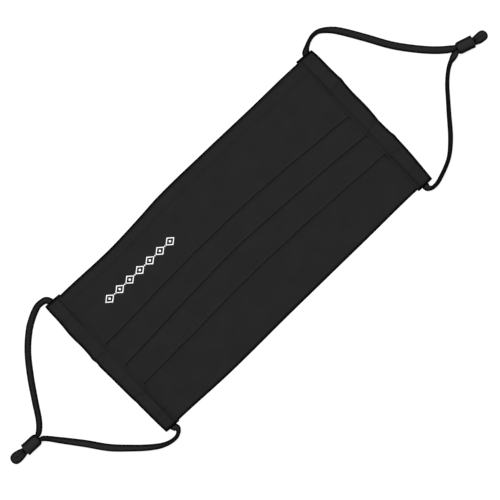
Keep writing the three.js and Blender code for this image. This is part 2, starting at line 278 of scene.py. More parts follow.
class ClothSizes(bpy.types.PropertyGroup):
    thickness: size_property("Thickness", "Both layers of cotton together", 0.45)
    layer_gap: size_property("Layer gap", "Air between the folded layers", 0.1)
    pleat_depth: size_property("Pleat depth", "From a front fold to its back fold", 9.5)
    first_rise: size_property("First rise", "Length over which the cloth climbs onto the first pleat", 10)
    end_rise: size_property("End rise", "Length over which the panel climbs into a casing", 12)
    wrinkle_height: size_property("Wrinkle height", "Most that the cloth stands off the surface", 0.7)
    hem_fold: size_property("Hem fold", "Extra thickness of the upper hem", 0.14)
    hem_left: size_property("Hem at left", "Upper edge to its seam at the left end", 5.2)
    hem_right: size_property("Hem at right", "Upper edge to its seam at the right end", 6.5)
    colour: colour_property("Cotton", "Colour of the cotton", 0.0119, 0.0119, 0.0121)
    bloom: colour_property("Bloom", "Colour of worn fibre ends", 0.0178, 0.0178, 0.018)


class SeamSizes(bpy.types.PropertyGroup):
    stitch: size_property("Stitch", "Length of one stitch", 2.3)
    stitch_gap: size_property("Stitch gap", "Between two stitches", 0.45)
    thread: size_property("Thread", "Thickness of the thread", 0.3)
    casing_inset: size_property("Casing inset", "Casing's inner edge to its seam", 1.1)
    colour: colour_property("Thread colour", "Colour of the thread", 0.0128, 0.0128, 0.013)


class ElasticSizes(bpy.types.PropertyGroup):
    width: size_property("Width", "Of the flat elastic", 4.1)
    thickness: size_property("Thickness", "Of the flat elastic", 2.3)
    ribs: bpy.props.IntProperty(name="Ribs", description="Lengthwise ribs on each face", default=6)
    rib_height: size_property("Rib height", "Relief of the ribs", 0.07)
    colour: colour_property("Elastic", "Colour of the knit", 0.0136, 0.0136, 0.0138)


class ToggleSizes(bpy.types.PropertyGroup):
    mouth_diameter: size_property("Mouth diameter", "At the end that faces the mask", 5.8)
    body_diameter: size_property("Body diameter", "Past the shoulder at its mouth", 6.8)
    shoulder: size_property("Shoulder", "Length over which the mouth widens to the body", 2)
    flare: size_property("Flare", "How far the far rim stands out", 0.1)
    rounding: size_property("Rounding", "Of both rims", 0.3)
    lift: size_property("Lift", "Of its side off the surface", 0.05)
    colour: colour_property("Silicone", "Colour of the toggle", 0.0132, 0.0132, 0.0134)


class OrnamentSizes(bpy.types.PropertyGroup):
    centre: place_property("Centre", "Middle of the printed row", -46.7, 24.2)
    length: size_property("Length", "Of the row", 50)
    height: size_property("Height", "Of a diamond", 5.2)
    stroke: size_property("Stroke", "Width of the printed lines", 0.62)
    colour: colour_property("Print", "Colour of the print", 0.8, 0.8, 0.8)


class StageLook(bpy.types.PropertyGroup):
    view_centre: place_property("View centre", "What the camera looks at", 1.5, -7.47)
    view_width: size_property("View width", "What the frame takes in", 257.8)
    view_turn: number_property("View turn", "Turn of the camera about its axis", math.radians(-43.6), "ANGLE")
    lens: number_property("Lens", "Focal length in millimetres", 150)
    floor: colour_property("Floor", "Colour of the floor", 0.2, 0.2, 0.2)
    floor_glow: number_property("Floor glow", "Hides the floor's shadows", 0.82)
    lamp_power: number_property("Lamp power", "Of the overhead lamp, in watts", 26)
    sky: number_property("Sky", "Strength of the light from all round", 0.5)


def smooth_table(rows):
    """A table as a function that reads all its columns at values of the first one, along smooth curves."""
    table = np.array(rows, float)
    at, values = table[:, 0], table[:, 1:]
    secants = np.diff(values, axis=0) / np.diff(at)[:, None]
    slopes = np.vstack([secants[:1], (secants[1:] + secants[:-1]) / 2, secants[-1:]])

    def read(where):
        where = np.atleast_1d(np.asarray(where, float))
        i = np.clip(np.searchsorted(at, where) - 1, 0, len(at) - 2)
        span = (at[i + 1] - at[i])[:, None]
        p = (where - at[i])[:, None] / span
        start = (1 + 2 * p) * (1 - p) ** 2 * values[i] + p * (1 - p) ** 2 * span * slopes[i]
        return start + p * p * (3 - 2 * p) * values[i + 1] + p * p * (p - 1) * span * slopes[i + 1]

    return read


def ease(share):
    """A share from 0 to 1 that starts and ends gently."""
    share = np.clip(share, 0, 1)
    return share * share * (3 - 2 * share)


def bell(distance, width):
    """1 at no distance, falling off smoothly over a width."""
    return np.exp(-((distance / width) ** 2))


def edge_band(distance, width=RIM_SHADE_WIDTH):
    """1 at an edge and a little way in from it, then falling off quickly to 0."""
    return np.exp(-((distance / width) ** 4))


def ripple(x, y, seed, count=7, wave=0.03):
    """Smooth seeded unevenness between about -1 and 1, made of a few crossing waves."""
    random = np.random.default_rng(seed)
    total = np.zeros(np.broadcast(x, y).shape)
    for _ in range(count):
        angle, phase = random.uniform(0, math.tau, 2)
        length = wave * random.uniform(0.5, 1.6)
        along = x * math.cos(angle) + y * math.sin(angle)
        total += np.sin(math.tau * along / length + phase)
    return total / math.sqrt(2 * count)


def add_object(name, data):
    """An object in the scene's own collection."""
    made = bpy.data.objects.new(name, data)
    bpy.context.scene.collection.objects.link(made)
    return made


def travelled(points):
    """How far each point of a line, or of each column of a grid, is from its first one along it."""
    steps = np.linalg.norm(np.diff(points, axis=0), axis=-1)
    return np.concatenate([0 * steps[:1], np.cumsum(steps, axis=0)])


def new_mesh(name, vertices, faces):
    """A smooth-shaded mesh object."""
    mesh = bpy.data.meshes.new(name)
    mesh.from_pydata(np.asarray(vertices, float).reshape(-1, 3).tolist(), [], faces)
    mesh.validate()
    mesh.polygons.foreach_set("use_smooth", [True] * len(mesh.polygons))
    return add_object(name, mesh)


def grid_faces(rows, columns, wrap=False, start=0):
    """Quads of a grid of points, row by row, joined round at its last column where wrap is set."""
    last = columns if wrap else columns - 1
    j, i = np.meshgrid(np.arange(rows - 1), np.arange(last), indexing="ij")
    here, beside = j * columns + i, j * columns + (i + 1) % columns
    corners = [here, beside, beside + columns, here + columns]
    return (np.stack(corners, -1).reshape(-1, 4) + start).tolist()


def tube_faces(rings, corners, start=0):
    """Faces of a tube made of rings of points, with a cap on each end."""
    last = start + (rings - 1) * corners
    caps = [[start + k for k in range(corners)][::-1], [last + k for k in range(corners)]]
    return grid_faces(rings, corners, wrap=True, start=start) + caps


def set_place(made, values):
    """Keeps the cloth's or elastic's own coordinates, in millimetres, on the mesh's points."""
    kept = made.data.attributes.new("place", "FLOAT_VECTOR", "POINT")
    kept.data.foreach_set("vector", np.asarray(values, np.float32).ravel())


def set_mask(made, name, values):
    """Keeps a value between 0 and 1 on each of the mesh's points."""
    kept = made.data.attributes.new(name, "FLOAT", "POINT")
    kept.data.foreach_set("value", np.asarray(values, np.float32).ravel())


def side_facing(made):
    """1 where a point faces sideways and 0 where it faces up or down, a mask for painted shade on the sides.
    """
    facing = np.array([abs(point.normal.z) for point in made.data.vertices])
    return ease((0.88 - facing) / 0.22)


def rounded_edges(grid, thickness, place, steps=3):
    """Adds rows and columns round a grid of points, where its thickness runs out in a round rim."""
    for axis in (0, 1):
        grid, thickness, place = (np.moveaxis(a, axis, 0) for a in (grid, thickness, place))
        for _ in range(2):
            outward = grid[0] - grid[1]
            outward /= np.linalg.norm(outward, axis=-1, keepdims=True)
            rim_points, rim_thickness = [], []
            for step in range(steps, 0, -1):
                angle = step / steps * math.radians(80)
                rim_points.append(grid[0] + outward * (thickness[0] / 2 * math.sin(angle))[..., None])
                rim_thickness.append(thickness[0] * math.cos(angle))
            grid = np.concatenate([np.array(rim_points), grid])[::-1]
            thickness = np.concatenate([np.array(rim_thickness), thickness])[::-1]
            place = np.concatenate([np.repeat(place[:1], steps, 0), place])[::-1]
        grid, thickness, place = (np.moveaxis(a, 0, axis) for a in (grid, thickness, place))
    return grid, thickness, place


def thick_sheet(name, grid, thickness, place, masks):
    """A closed sheet round a grid of middle points: rows go down its front, and columns to the right."""
    rows, columns = grid.shape[:2]
    thickness = np.broadcast_to(thickness, (rows, columns)).copy()
    layers = np.dstack([place, *masks.values()])
    grid, thickness, layers = rounded_edges(grid, thickness, layers)
    rows, columns = grid.shape[:2]
    down, along = np.gradient(grid, axis=0), np.gradient(grid, axis=1)
    normal = np.cross(along, -down)
    normal /= np.linalg.norm(normal, axis=-1, keepdims=True)
    offset = normal * thickness[..., None] / 2
    vertices = np.concatenate([(grid + offset).reshape(-1, 3), (grid - offset).reshape(-1, 3)])
    count = rows * columns
    front = grid_faces(rows, columns)
    back = [[a + count for a in reversed(quad)] for quad in front]
    number = np.arange(count).reshape(rows, columns)
    border = [*number[0, :-1], *number[:-1, -1], *number[-1, :0:-1], *number[:0:-1, 0]]
    pairs = zip(border, [*border[1:], border[0]])
    walls = [[int(a), int(a) + count, int(b) + count, int(b)] for a, b in pairs]
    flipped = [[d, c, b, a] for a, b, c, d in front + back]
    made = new_mesh(name, vertices, flipped + walls)
    set_place(made, np.tile(layers[..., :3].reshape(-1, 3), (2, 1)))
    for i, key in enumerate(masks):
        set_mask(made, key, np.tile(layers[..., 3 + i].ravel(), 2))
    return made


def pleats_at(x):
    """Heights of the upper edge, the three front folds and the lower edge at each x."""
    heights = smooth_table(LENGTHWISE)(x / HALF_LENGTH) * HALF_HEIGHT
    return heights[:, 0], heights[:, 1:4].T, heights[:, 4]


def settle_sheet(x, y, scale):
    """Heights that a flat sheet, held at its two ends and given slack, takes as it settles on a floor.

    The sheet is simulated at the given scale, because thin cloth settles badly at its own."""
    rows, columns = x.shape
    start = 0.15 * MM * (1 + ripple(x, y, seed=3, wave=0.04))
    sheet = new_mesh("settling_sheet", np.dstack([x, y, start]) * scale, grid_faces(rows, columns))
    floor = new_mesh("settling_floor", [(-2, -2, 0), (2, -2, 0), (2, 2, 0), (-2, 2, 0)], [(0, 1, 2, 3)])
    floor.modifiers.new("Collision", "COLLISION")
    floor.collision.thickness_outer = 0.001
    ends = [j * columns + i for j in range(rows) for i in (0, 1, columns - 2, columns - 1)]
    sheet.vertex_groups.new(name="held").add(ends, 1.0, "REPLACE")
    settle = sheet.modifiers.new("Cloth", "CLOTH")
    wanted = {
        "quality": 6,
        "mass": 0.2,
        "tension_stiffness": 25,
        "compression_stiffness": 25,
        "bending_stiffness": 1.5,
        "shrink_min": -0.006,
        "vertex_group_mass": "held",
    }
    for setting, value in wanted.items():
        setattr(settle.settings, setting, value)
    settle.collision_settings.distance_min = 0.001
    settle.collision_settings.use_self_collision = False
    for number in range(1, 31):
        bpy.context.scene.frame_set(number)
    settled = sheet.evaluated_get(bpy.context.evaluated_depsgraph_get())
    co = np.zeros(len(settled.data.vertices) * 3)
    settled.data.vertices.foreach_get("co", co)
    heights = co.reshape(rows, columns, 3)[..., 2] / scale
    bpy.context.scene.frame_set(1)
    for helper in (sheet, floor):
        bpy.data.objects.remove(helper)
    return np.round(heights - np.percentile(heights, 2), 6)


def settled_heights(cloth):
    """How far the front stands off the surface where a little slack settles in it, read at x and y."""
    cell = 2.2 * MM
    halves = CASING_INNER, HALF_HEIGHT
    counts = [int(2 * half / cell) + 1 for half in halves]
    x, y = np.meshgrid(*(np.linspace(-half, half, count) for half, count in zip(halves, counts)))
    heights = settle_sheet(x, y, scale=10)
    top = cloth.wrinkle_height
    heights = top * np.tanh(np.maximum(heights, 0) / top)

    def read(*at):
        cells = [
            np.clip((p + half) / (2 * half) * (count - 1), 0, count - 1.001)
            for p, half, count in zip(at, halves, counts)
        ]
        i, j = (along.astype(int) for along in cells)
        fu, fv = cells[0] - i, cells[1] - j
        near = heights[j, i] * (1 - fu) + heights[j, i + 1] * fu
        far = heights[j + 1, i] * (1 - fu) + heights[j + 1, i + 1] * fu
        return near * (1 - fv) + far * fv

    return read


def folded_line(cloth, x):
    """The folded cloth across the mask at each x: y and z of its middle, a mark for a painted highlight along
    each front fold and a mark for painted shade below it.

    Rows follow the cloth from the upper edge to the lower edge and columns follow the mask."""
    # lit is how far the painted highlight reaches up from a front fold, and tuck how far the painted shade
    # reaches below it.
    unevenness, lit, tuck = 0.2 * MM, 1.2 * MM, 1.5 * MM
    upper, fronts, lower = pleats_at(x)
    fronts = fronts + unevenness * np.array([ripple(x, 0 * x, seed=20 + i, wave=0.04) for i in range(3)])
    step = cloth.thickness + cloth.layer_gap
    bend = step / 2
    reach = bend + cloth.thickness / 2
    levels = cloth.thickness / 2 + step * np.arange(3)
    upper, lower = upper - cloth.thickness / 2, lower + cloth.thickness / 2
    ys, zs, folds, tuck_shade = [], [], [], []

    def run(start, end, from_level, to_level, count, fold=None, tucked=0, skip_first=True):
        shares = np.linspace(0, 1, count + 1)[1 if skip_first else 0 :, None]
        ys.append(start + (end - start) * shares)
        zs.append(levels[from_level] + (levels[to_level] - levels[from_level]) * ease(shares) + 0 * start)
        folds.append(np.zeros_like(ys[-1]) if fold is None else np.broadcast_to(fold(shares), ys[-1].shape))
        tuck_shade.append(tucked * bell(ys[-1] - start, tuck))

    def turn(middle, from_level, side, fold):
        angles = math.pi * np.linspace(0, 1, 9)[1:, None]
        ys.append(middle + side * bend * np.sin(angles))
        zs.append(levels[from_level] - bend + bend * np.cos(angles) + 0 * middle)
        # The painted highlight runs round the front fold's edge.
        folds.append(np.broadcast_to(fold * np.sin(angles / 2 + math.pi / 4) ** 2, ys[-1].shape))
        tuck_shade.append(0 * ys[-1])

    depth = cloth.pleat_depth
    starts = [fronts[0] + depth + cloth.layer_gap + cloth.first_rise, fronts[0], fronts[1]]
    run(upper, starts[0], 0, 0, 15, skip_first=False)
    for i, (front, rise_from) in enumerate(zip(fronts, starts)):
        rise_to = front + depth + cloth.layer_gap
        run(rise_from, rise_to, 0, 2, 12, tucked=i > 0)
        run(rise_to, front + reach + lit, 2, 2, 9)
        # The painted highlight rises over this stretch up to the fold's edge.
        run(front + reach + lit, front + reach, 2, 2, 3, fold=ease)
        turn(front + reach, 2, -1, 1)
        run(front + reach, front + depth - reach, 1, 1, 6)
        turn(front + depth - reach, 1, 1, 0)
        run(front + depth - reach, front, 0, 0, 6)
    run(front, lower, 0, 0, 34, tucked=1)
    return np.vstack(ys), np.vstack(zs), np.vstack(folds), np.vstack(tuck_shade)


def pleated_grid(cloth):
    """The panel's middle surface as a grid, with its thickness, its cloth coordinates and its marks."""
    short_of_casing, calm = 0.3 * MM, 14 * MM
    gather_height, gather_reach = 0.12 * MM, 7 * MM
    crease_depth, crease_width, crease_above = 0.1 * MM, 1.2 * MM, 16 * MM
    groove_depth, groove_width, groove_past = 0.08 * MM, 0.8 * MM, 1.3 * MM
    x = np.linspace(-PANEL_END, PANEL_END, 171)
    y, z, folds, tuck_shade = folded_line(cloth, x)
    across = np.broadcast_to(x, y.shape)
    step = cloth.thickness + cloth.layer_gap
    rise_from = CASING_INNER - short_of_casing - cloth.end_rise
    raised = step * ease((np.abs(across) - rise_from) / cloth.end_rise)
    middle = 1 - ease((np.abs(across) - CASING_INNER + calm) / calm)
    near_seam = np.exp(-(CASING_INNER - np.abs(across)) / gather_reach)
    gathers = gather_height * near_seam * (1 + ripple(0 * y, y, seed=8, wave=0.011))
    lie = settled_heights(cloth)(across, y) * middle + gathers
    upper, fronts, lower = pleats_at(x)
    crease = crease_depth * bell(y - fronts[0] - crease_above, crease_width)
    crease = crease * ease((across + 8 * MM) / (20 * MM)) * middle
    length = travelled(np.dstack([y, z]))
    place = np.dstack([across / MM, length / MM, 0 * y])
    seam = hem_depth(cloth, across)
    from_edge = upper - y
    past_seam = from_edge - seam
    top_strip = length < seam * 1.6
    folded_over = np.where(top_strip, 1 - ease((past_seam - 0.3 * MM) / (1.2 * MM)), 0)
    groove = np.where(top_strip, bell(past_seam - groove_past, groove_width), 0)
    # Painted highlight on the folded-over hem just above its seam.
    folds = np.maximum(folds, np.where(top_strip, 0.5 * bell(past_seam + 0.2 * MM, 0.7 * MM), 0))
    hem = cloth.hem_fold * folded_over - groove_depth * groove
    # Painted shade along the upper and lower edges, where the cloth turns down out of the light.
    rim = np.maximum(edge_band(from_edge), edge_band(y - lower))
    thickness = cloth.thickness + hem
    grid = np.dstack([across, y, z + raised + lie + crease + np.maximum(hem, 0) / 2])
    # Painted shade in the hem's seam groove and on the cloth just below each front fold.
    sunk = np.maximum(0.2 * groove, 0.15 * tuck_shade)
    return grid, thickness, place, {"fold": folds, "sunk": sunk, "rim": rim}


def hem_depth(cloth, x):
    """Distance from the upper edge to the hem's seam at x."""
    return cloth.hem_left + (cloth.hem_right - cloth.hem_left) * (x / PANEL_END + 1) / 2


def top_finder(made):
    """A function that gives the highest point of a piece at a place, or None where it has none."""
    corners = [v.co.copy() for v in made.data.vertices]
    tree = BVHTree.FromPolygons(corners, [tuple(p.vertices) for p in made.data.polygons])
    return lambda x, y: tree.ray_cast(Vector((x, y, RAY_START)), Vector((0, 0, -1)))[0]


def draped_over(heights, spread, sag=1.0):
    """A line of heights as cloth laid over it takes it: steps are eased over the spread, in samples."""
    reach = np.arange(-spread, spread + 1)
    padded = np.pad(heights, spread, mode="edge")
    lowered = [padded[spread + r : spread + r + len(heights)] - sag * MM * (r / spread) ** 2 for r in reach]
    return np.max(lowered, axis=0)


def casing_grid(cloth, elastic, name, find_top):
    """One casing's wall as a grid: rows go round it from its inner edge below, and columns up the mask."""
    side, ends = SIDES[name], CASING_ENDS[name]
    half = cloth.thickness / 2
    probe_in, seat, headroom, slump = 0.5 * MM, 0.06 * MM, 0.1 * MM, 0.15 * MM
    bend, bulge_width, crease_width = 1.5 * MM, 1.6 * MM, 0.9 * MM
    y = np.linspace(ends["lower"][0] * HALF_HEIGHT + half, ends["upper"][0] * HALF_HEIGHT - half, 121)
    outer = smooth_table(SIDEWAYS)(y / HALF_HEIGHT)[:, 0 if side < 0 else 1] * HALF_LENGTH
    outer = outer + sum(out * MM * bell(y - at * MM, bulge_width) for at, out in CASING_BULGES[name])
    probe = side * (CASING_INNER + probe_in)
    tops = np.array([point.z if point else np.nan for point in (find_top(probe, at) for at in y)])
    found = ~np.isnan(tops)
    tops = np.interp(np.arange(len(y)), np.flatnonzero(found), tops[found])
    seated = draped_over(tops, spread=5) + seat + half
    roof = IN_CASING * MM + headroom + SNUG * elastic.thickness + half
    crown = roof + 0.12 * MM * (1 + ripple(0 * y, y, seed=30 + side, wave=0.02))

    def creased(x):
        share = (x - CASING_INNER) / (HALF_LENGTH - CASING_INNER)
        places = [(at * MM + rise * MM * share, depth) for at, rise, depth in CASING_CREASES[name]]
        return sum(depth * bell(y - middle, crease_width) for middle, depth in places)

    rows = []
    for share in np.linspace(0, 1, 8):
        rows.append((CASING_INNER + (outer - half - bend - CASING_INNER) * share, half + 0 * y))
    for angle in np.radians(np.linspace(-90, 90, 10)[1:]):
        shoulder = crown - slump - creased(outer) * MM * (0.5 + angle / math.pi)
        middle, radius = (half + shoulder) / 2, (shoulder - half) / 2
        rows.append((outer - half - bend + bend * math.cos(angle), middle + radius * math.sin(angle)))
    for share in np.linspace(0, 1, 17)[1:]:
        x = outer - half - bend + (CASING_INNER + half - outer + half + bend) * share
        over_tunnel = ease((x - PANEL_END + 0.3 * MM) / (2 * MM))
        soft = 0.1 * MM * ripple(x, y, seed=40 + side, wave=0.012) * ease((x - CASING_INNER) / (3 * MM))
        lowered = creased(x) * MM + slump * ease(1 - share * 6)
        height = np.maximum(seated, seated + (crown - lowered - seated) * over_tunnel)
        rows.append((x, height + np.maximum(soft, -0.05 * MM)))
    x, z = np.array([row[0] for row in rows]), np.array([row[1] for row in rows])
    outward = (x - CASING_INNER) / (HALF_LENGTH - CASING_INNER)
    slants = [(b - a) * HALF_HEIGHT * ease(2 * y / (a * HALF_HEIGHT) - 1) for a, b in ends.values()]
    slanted = y + outward * sum(slants)
    place = np.dstack([travelled(np.dstack([x, z])) / MM, slanted / MM, 0 * x])
    grid = np.dstack([side * x, slanted, z])
    # Painted shade along the casing's outer edge and at both mouths.
    mouths = np.maximum(edge_band(y - y[0]), edge_band(y - y[-1]))
    # Painted shade along the casing's inner edge and in its creases.
    sunk = np.maximum(0.04 * bell(x - CASING_INNER, 0.4 * MM), np.array([creased(row) for row in x]))
    marks = {"fold": 0 * x, "sunk": sunk, "rim": np.maximum(edge_band(x + half - outer), mouths)}
    if side < 0:
        grid, place = grid[:, ::-1], place[:, ::-1]
        marks = {key: value[:, ::-1] for key, value in marks.items()}
    return grid[::-1], cloth.thickness, place[::-1], {key: value[::-1] for key, value in marks.items()}


def curve_through(points, steps):
    """Points along a smooth curve through a route's points, with its directions, steps to each span."""
    points = np.asarray(points, float)
    padded = np.vstack([2 * points[0] - points[1], points, 2 * points[-1] - points[-2]])
    gaps = np.linalg.norm(np.diff(padded, axis=0), axis=1) ** 0.5
    places, directions = [], []
    for i in range(len(points) - 1):
        p0, p1, p2, p3 = padded[i : i + 4]
        d0, d1, d2 = gaps[i : i + 3]
        m1 = ((p1 - p0) / d0 - (p2 - p0) / (d0 + d1) + (p2 - p1) / d1) * d1
        m2 = ((p2 - p1) / d1 - (p3 - p1) / (d1 + d2) + (p3 - p2) / d2) * d1
        for share in np.arange(steps + (i == len(points) - 2)) / steps:
            t, u = share, 1 - share
            values = (1 + 2 * t) * u * u * p1 + t * u * u * m1
            places.append(values + t * t * (3 - 2 * t) * p2 - t * t * u * m2)
            directions.append(6 * t * u * (p2 - p1) + u * (u - 2 * t) * m1 + t * (t - 2 * u) * m2)
    directions = np.array(directions)
    return np.array(places), directions / np.linalg.norm(directions, axis=1, keepdims=True)


def flat_section(elastic, corners=44):
    """Points round the elastic's flat oval section, across and through it, with ribs on both faces."""
    angles = math.tau * np.arange(corners) / corners
    across = elastic.width / 2 * np.sign(np.cos(angles)) * np.abs(np.cos(angles)) ** 0.8
    through = elastic.thickness / 2 * np.sign(np.sin(angles)) * np.abs(np.sin(angles)) ** 0.75
    ribs = np.cos(math.tau * elastic.ribs * (across / elastic.width + 0.5) + math.pi)
    through += np.sign(np.sin(angles)) * elastic.rib_height / 2 * (ribs - 1) * np.abs(np.sin(angles)) ** 0.5
    return across, through


def elastic_piece(name, rows, side, elastic, steps):
    """The flat elastic along a route, closed at both ends, and the middle of each of its rings."""
    rows = np.array(rows, float)
    line = np.column_stack([side * (HALF_LENGTH / MM + rows[:, 0]), rows[:, 1]])
    places, directions = curve_through(line, steps)
    spans = np.arange(len(places)) / steps
    first = np.minimum(spans.astype(int), len(rows) - 2)
    blend = ease(spans - first)[:, None]
    low, twist, squeeze = (rows[first, 2:] * (1 - blend) + rows[first + 1, 2:] * blend).T
    soften = np.hanning(2 * steps + 1)
    soften /= soften.sum()
    low, twist, squeeze = (
        np.convolve(np.pad(v, steps, mode="edge"), soften, mode="valid") for v in (low, twist, squeeze)
    )
    turned = np.radians(twist)
    across, through = flat_section(elastic)
    wide, thin = squeeze[:, None] * across, squeeze[:, None] * through
    lean = (side * turned)[:, None]
    lateral = wide * np.cos(lean) - thin * np.sin(lean)
    height = wide * np.sin(lean) + thin * np.cos(lean)
    middle = np.column_stack([places * MM, low * MM - height.min(axis=1)])
    sideways = np.column_stack([-directions[:, 1], directions[:, 0], 0 * low])
    rings = middle[:, None, :] + lateral[..., None] * sideways[:, None, :]
    rings[..., 2] += height
    count, corners = rings.shape[:2]
    made = new_mesh(name, rings, tube_faces(count, corners))
    own = (travelled(middle)[:, None], across, through)
    set_place(made, np.dstack([np.broadcast_to(part, rings.shape[:2]) for part in own]) / MM)
    # Painted shade along the elastic's edges and over strands that stand on edge, left off one side where a
    # strand turns over.
    edge_shade = 0.75 * ease((np.abs(across) / (elastic.width / 2) - 0.7) / 0.3)
    outline = edge_band(lateral.max(axis=1, keepdims=True) - np.abs(lateral), 0.95 * MM)
    doubled = ease((twist - 92) / 20)[:, None] * (side * lateral < 0)
    set_mask(made, "rim", np.maximum(outline, edge_shade) * (1 - doubled))
    return made, middle


def lathed(name, profile, start, end, sides=72):
    """A closed ring of a profile, given as distances from the axis and along it, turned about the axis."""
    axis = (end - start).normalized()
    across = axis.orthogonal().normalized()
    other = axis.cross(across)
    vertices = []
    for radius, height in profile:
        for k in range(sides):
            angle = math.tau * k / sides
            outward = across * math.cos(angle) + other * math.sin(angle)
            vertices.append(start + axis * float(height) + outward * float(radius))
    faces = grid_faces(len(profile), sides, wrap=True)
    last = (len(profile) - 1) * sides
    faces += [[last + k, last + (k + 1) % sides, (k + 1) % sides, k] for k in range(sides)]
    return new_mesh(name, [tuple(v) for v in vertices], faces)


def arc(x, y, radius, start, end, count):
    """Points on a circle about a point of a section, between two angles in degrees."""
    angles = np.radians(np.linspace(start, end, count))
    return [(x + radius * math.cos(angle), y + radius * math.sin(angle)) for angle in angles]


def toggle_profile(toggle, length, bore):
    """Section of the toggle's wall: round rims, a shoulder at the mouth and a small flare at the far rim."""
    mouth, body = toggle.mouth_diameter / 2, toggle.body_diameter / 2
    lip, rounding, flare = 0.3 * MM, toggle.rounding, toggle.flare
    profile = arc(bore + lip, lip, lip, -180, -90, 5) + arc(mouth - rounding, rounding, rounding, -90, 0, 7)
    for share in np.linspace(0, 1, 22)[1:-1]:
        along = rounding + (length - 2 * rounding) * share
        widened = 1 - max(0, 1 - along / toggle.shoulder) ** 2
        out = flare * float(bell(1 - share, 0.12))
        profile.append((mouth + (body - mouth) * widened + out, along))
    profile += arc(body + flare - rounding, length - rounding, rounding, 0, 90, 7)
    return profile + arc(bore + lip, length - lip, lip, 90, 180, 5)


def stitched(name, line, find_top, seam):
    """A row of stitches along a line of x and y places, each sunk at its ends into the cloth below it."""
    way = travelled(line)
    pitch = seam.stitch + seam.stitch_gap
    radius = seam.thread / 2
    shares = np.array([0, 0.12, 0.3, 0.5, 0.7, 0.88, 1])
    arch = np.array([-0.9, -0.1, 0.35, 0.45, 0.35, -0.1, -0.9]) * radius
    size = np.array([0.35, 0.85, 1, 1, 1, 0.85, 0.35]) * radius
    corners = 8
    vertices, faces = [], []
    for number in range(int((way[-1] - seam.stitch) / pitch) + 1):
        at = number * pitch + shares * seam.stitch
        x, y = np.interp(at, way, line[:, 0]), np.interp(at, way, line[:, 1])
        hits = [find_top(px, py) for px, py in zip(x, y)]
        if any(hit is None for hit in hits):
            continue
        points = np.array([[*hit] for hit in hits])
        points[:, 2] = draped_over(points[:, 2], spread=1, sag=0.3) + arch
        forward = np.gradient(points, axis=0)
        forward /= np.linalg.norm(forward, axis=1, keepdims=True)
        aside = np.cross([0, 0, 1.0], forward)
        aside /= np.linalg.norm(aside, axis=1, keepdims=True)
        above = np.cross(forward, aside)
        faces += tube_faces(len(shares), corners, start=len(vertices))
        for centre, a, b, r in zip(points, aside, above, size):
            for k in range(corners):
                angle = math.tau * k / corners
                vertices.append(centre + r * (a * math.cos(angle) + b * math.sin(angle)))
    return new_mesh(name, vertices, faces)


def printed(name, outlines, find_top):
    """Thin print that follows the cloth. Each outline is a pair of rings of x and y, outer and inner."""
    thickness = 0.05 * MM
    vertices, faces = [], []
    for outer, inner in outlines:
        count = len(outer)
        start = len(vertices)
        for lift in (thickness, -thickness):
            vertices += [(x, y, find_top(x, y).z + lift) for ring in (outer, inner) for x, y in ring]
        top_outer, top_inner, low_outer, low_inner = (start + k * count for k in range(4))
        round_it = [top_outer, top_inner, low_inner, low_outer, top_outer]
        for a, b in zip(round_it, round_it[1:]):
            faces += [[a + k, a + (k + 1) % count, b + (k + 1) % count, b + k] for k in range(count)]
    return new_mesh(name, vertices, faces)


def diamond(centre, width, height, per_side=8):
    """A ring of points round a diamond."""
    corners = np.array([[width / 2, 0], [0, height / 2], [-width / 2, 0], [0, -height / 2]])
    ring = []
    for a, b in zip(corners, np.roll(corners, -1, axis=0)):
        ring += [centre + a + (b - a) * share for share in np.arange(per_side) / per_side]
    return np.array(ring)


def feed(tree, node, values):
    """Sets a node's inputs to values, or joins them to other nodes' outputs."""
    for socket, value in values.items():
        if isinstance(value, bpy.types.NodeSocket):
            tree.links.new(value, node.inputs[socket])
        else:
            node.inputs[socket].default_value = value


def add_node(tree, kind, values=None, **settings):
    """One shader node with its settings and its inputs."""
    made = tree.nodes.new("ShaderNode" + kind)
    for name, value in settings.items():
        setattr(made, name, value)
    feed(tree, made, values or {})
    return made


def maths(tree, operation, a, b=0.0, c=0.0, clamp=False):
    """The result of one math node on up to three values."""
    return add_node(tree, "Math", {0: a, 1: b, 2: c}, operation=operation, use_clamp=clamp).outputs[0]


def above(tree, value, level, gain):
    """How far a value is above a level, times a gain, kept between 0 and 1."""
    return maths(tree, "MULTIPLY", maths(tree, "SUBTRACT", value, level), gain, clamp=True)


def mean_of(tree, a, b):
    """The mean of two values."""
    return maths(tree, "ADD", maths(tree, "MULTIPLY", a, 0.5), maths(tree, "MULTIPLY", b, 0.5))


def times(tree, a, b):
    """Two vectors or colours multiplied, part by part."""
    return add_node(tree, "VectorMath", {0: a, 1: b}, operation="MULTIPLY").outputs[0]


def mixed(tree, share, a, b):
    """A colour between two colours."""
    return add_node(tree, "Mix", {0: share, 6: a, 7: b}, data_type="RGBA").outputs[2]


def stretched_noise(tree, vector, scale, detail=2.0):
    """Noise over a vector, with its own scale on each axis."""
    moved = times(tree, vector, scale)
    return add_node(tree, "TexNoise", {"Vector": moved, "Scale": 1.0, "Detail": detail}).outputs[0]


def kept_value(tree, name, output="Fac"):
    """A value that the mesh keeps on its points."""
    return add_node(tree, "Attribute", attribute_name=name).outputs[output]


def bumped(tree, height, strength, distance):
    """The normal of a surface with this relief."""
    return add_node(tree, "Bump", {"Height": height, "Strength": strength, "Distance": distance}).outputs[0]


def new_group(name, inputs, outputs):
    """A shader node group with named sockets, with its inputs and its output node."""
    tree = bpy.data.node_groups.new(name, "ShaderNodeTree")
    for sockets, direction in ((inputs, "INPUT"), (outputs, "OUTPUT")):
        for label, kind in sockets.items():
            tree.interface.new_socket(name=label, in_out=direction, socket_type="NodeSocket" + kind)
    return tree, tree.nodes.new("NodeGroupInput").outputs, tree.nodes.new("NodeGroupOutput")


